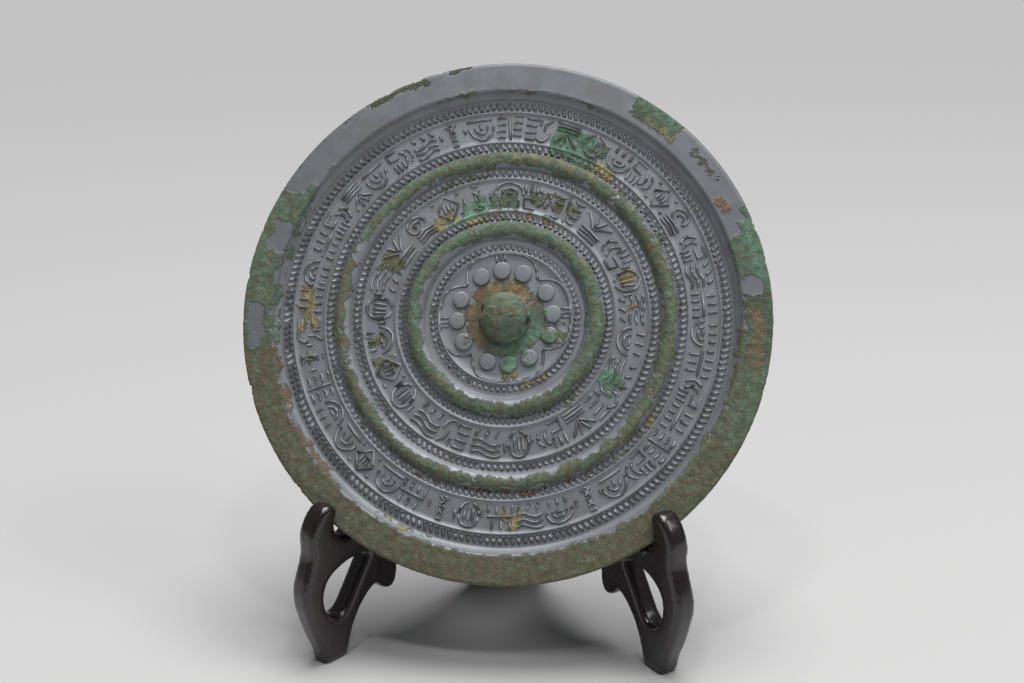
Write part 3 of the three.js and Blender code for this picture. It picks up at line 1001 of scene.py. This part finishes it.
class MIRROR_OT_stand(Operator):
    """Rounds the two carved boards of the stand and gives them their wood"""
    bl_idname = "bronze_mirror.stand"
    bl_label = "Stand"

    def execute(self, context):
        step = context.scene.stand_settings.grain_size
        for node in ("stand_leg_left", "stand_leg_right"):
            bm = bmesh.new()
            bm.from_mesh(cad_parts[node].data)
            bmesh.ops.remove_doubles(bm, verts=bm.verts, dist=0.00001)
            board = solid_object(node + "_blank", bm)
            skin = board.modifiers.new("surface", "REMESH")
            skin.mode = "VOXEL"
            skin.voxel_size = step
            round_off = board.modifiers.new("rounding", "SMOOTH")
            round_off.factor = 0.5
            round_off.iterations = ROUNDING_PASSES
            mesh = evaluated_mesh(board, node + "_wood")
            discard(board)
            new_object(node + "_wood", mesh, rosewood_material(), ROSEWOOD_SLOT, node)
        return {"FINISHED"}


# ---------------------------------------------------------------- stage
def area_light(name, place, target, size, power, tone=(1.0, 1.0, 1.0)):
    light = bpy.data.lights.new(name, "AREA")
    light.shape = "RECTANGLE"
    light.size, light.size_y = size
    light.energy = power
    light.color = tone
    lamp = bpy.data.objects.new(name, light)
    bpy.context.scene.collection.objects.link(lamp)
    lamp.location = place
    lamp.rotation_euler = (Vector(target) - Vector(place)).to_track_quat("-Z", "Y").to_euler()


class MIRROR_OT_stage(Operator):
    """Sets the floor, the soft lights and the camera"""
    bl_idname = "bronze_mirror.stage"
    bl_label = "Stage"

    def execute(self, context):
        settings = context.scene.stage_settings
        self.floor()
        centre = (0.0, 0.0, FACE_CENTRE.z)
        self.overhead(settings)
        area_light("side_light", (1.0, -0.35, 1.15), centre, (0.6, 0.6), settings.side_light)
        area_light("left_lamp", (-0.12, -0.38, 0.95), centre, (0.08, 0.08), settings.lamps)
        area_light("right_lamp", (0.16, -0.42, 0.92), centre, (0.08, 0.08), settings.lamps)
        world = bpy.data.worlds.new("studio")
        world.use_nodes = True
        sky = world.node_tree.nodes["Background"]
        sky.inputs["Color"].default_value = (0.93, 0.96, 1.0, 1.0)
        sky.inputs["Strength"].default_value = settings.surroundings
        context.scene.world = world
        context.scene.view_settings.view_transform = "Standard"
        self.camera(context, settings)
        return {"FINISHED"}

    @staticmethod
    def overhead(settings):
        light = bpy.data.lights.new("overhead", "SUN")
        light.energy = settings.overhead
        light.angle = settings.overhead_softness
        lamp = bpy.data.objects.new("overhead", light)
        bpy.context.scene.collection.objects.link(lamp)
        lamp.rotation_euler = OVERHEAD_TILT

    @staticmethod
    def floor():
        bm = bmesh.new()
        bmesh.ops.create_grid(bm, x_segments=2, y_segments=2, size=40.0)
        mesh = bpy.data.meshes.new("floor")
        bm.to_mesh(mesh)
        bm.free()
        floor = bpy.data.objects.new("floor", mesh)
        floor.data.materials.append(floor_material())
        bpy.context.scene.collection.objects.link(floor)

    @staticmethod
    def camera(context, settings):
        data = bpy.data.cameras.new("camera")
        data.sensor_width = 36.0
        data.lens = settings.lens
        data.clip_start = 0.01
        data.clip_end = 120.0
        camera = bpy.data.objects.new("camera", data)
        context.scene.collection.objects.link(camera)
        camera.matrix_world = (
            Matrix.Translation(FACE_CENTRE + CAMERA_OFFSET)
            @ Matrix.Rotation(CAMERA_YAW, 4, "Z")
            @ Matrix.Rotation(math.pi / 2 + CAMERA_PITCH, 4, "X")
            @ Matrix.Rotation(CAMERA_ROLL, 4, "Z")
        )
        context.scene.camera = camera


# ---------------------------------------------------------------- add-on
STEPS = (MIRROR_OT_stage, MIRROR_OT_body, MIRROR_OT_teeth, MIRROR_OT_strokes,
         MIRROR_OT_centre, MIRROR_OT_knob, MIRROR_OT_stand)


class MIRROR_PT_panel(Panel):
    """Lists the pieces and their settings"""
    bl_idname = "MIRROR_PT_panel"
    bl_label = "Bronze mirror"
    bl_space_type = "VIEW_3D"
    bl_region_type = "UI"
    bl_category = "Mirror"

    def draw(self, context):
        for step in STEPS:
            self.layout.operator(step.bl_idname)
        for settings in (context.scene.mirror_settings, context.scene.stand_settings,
                         context.scene.stage_settings):
            for name in settings.bl_rna.properties.keys()[2:]:
                self.layout.prop(settings, name)


CLASSES = (MirrorSettings, StandSettings, StageSettings, *STEPS, MIRROR_PT_panel)


def register():
    for cls in CLASSES:
        bpy.utils.register_class(cls)
    bpy.types.Scene.mirror_settings = PointerProperty(type=MirrorSettings)
    bpy.types.Scene.stand_settings = PointerProperty(type=StandSettings)
    bpy.types.Scene.stage_settings = PointerProperty(type=StageSettings)


def unregister():
    del bpy.types.Scene.stage_settings
    del bpy.types.Scene.stand_settings
    del bpy.types.Scene.mirror_settings
    for cls in reversed(CLASSES):
        bpy.utils.unregister_class(cls)


def main():
    register()
    for step in STEPS:
        group, name = step.bl_idname.split(".")
        getattr(getattr(bpy.ops, group), name)()


if __name__ == "__main__":
    main()
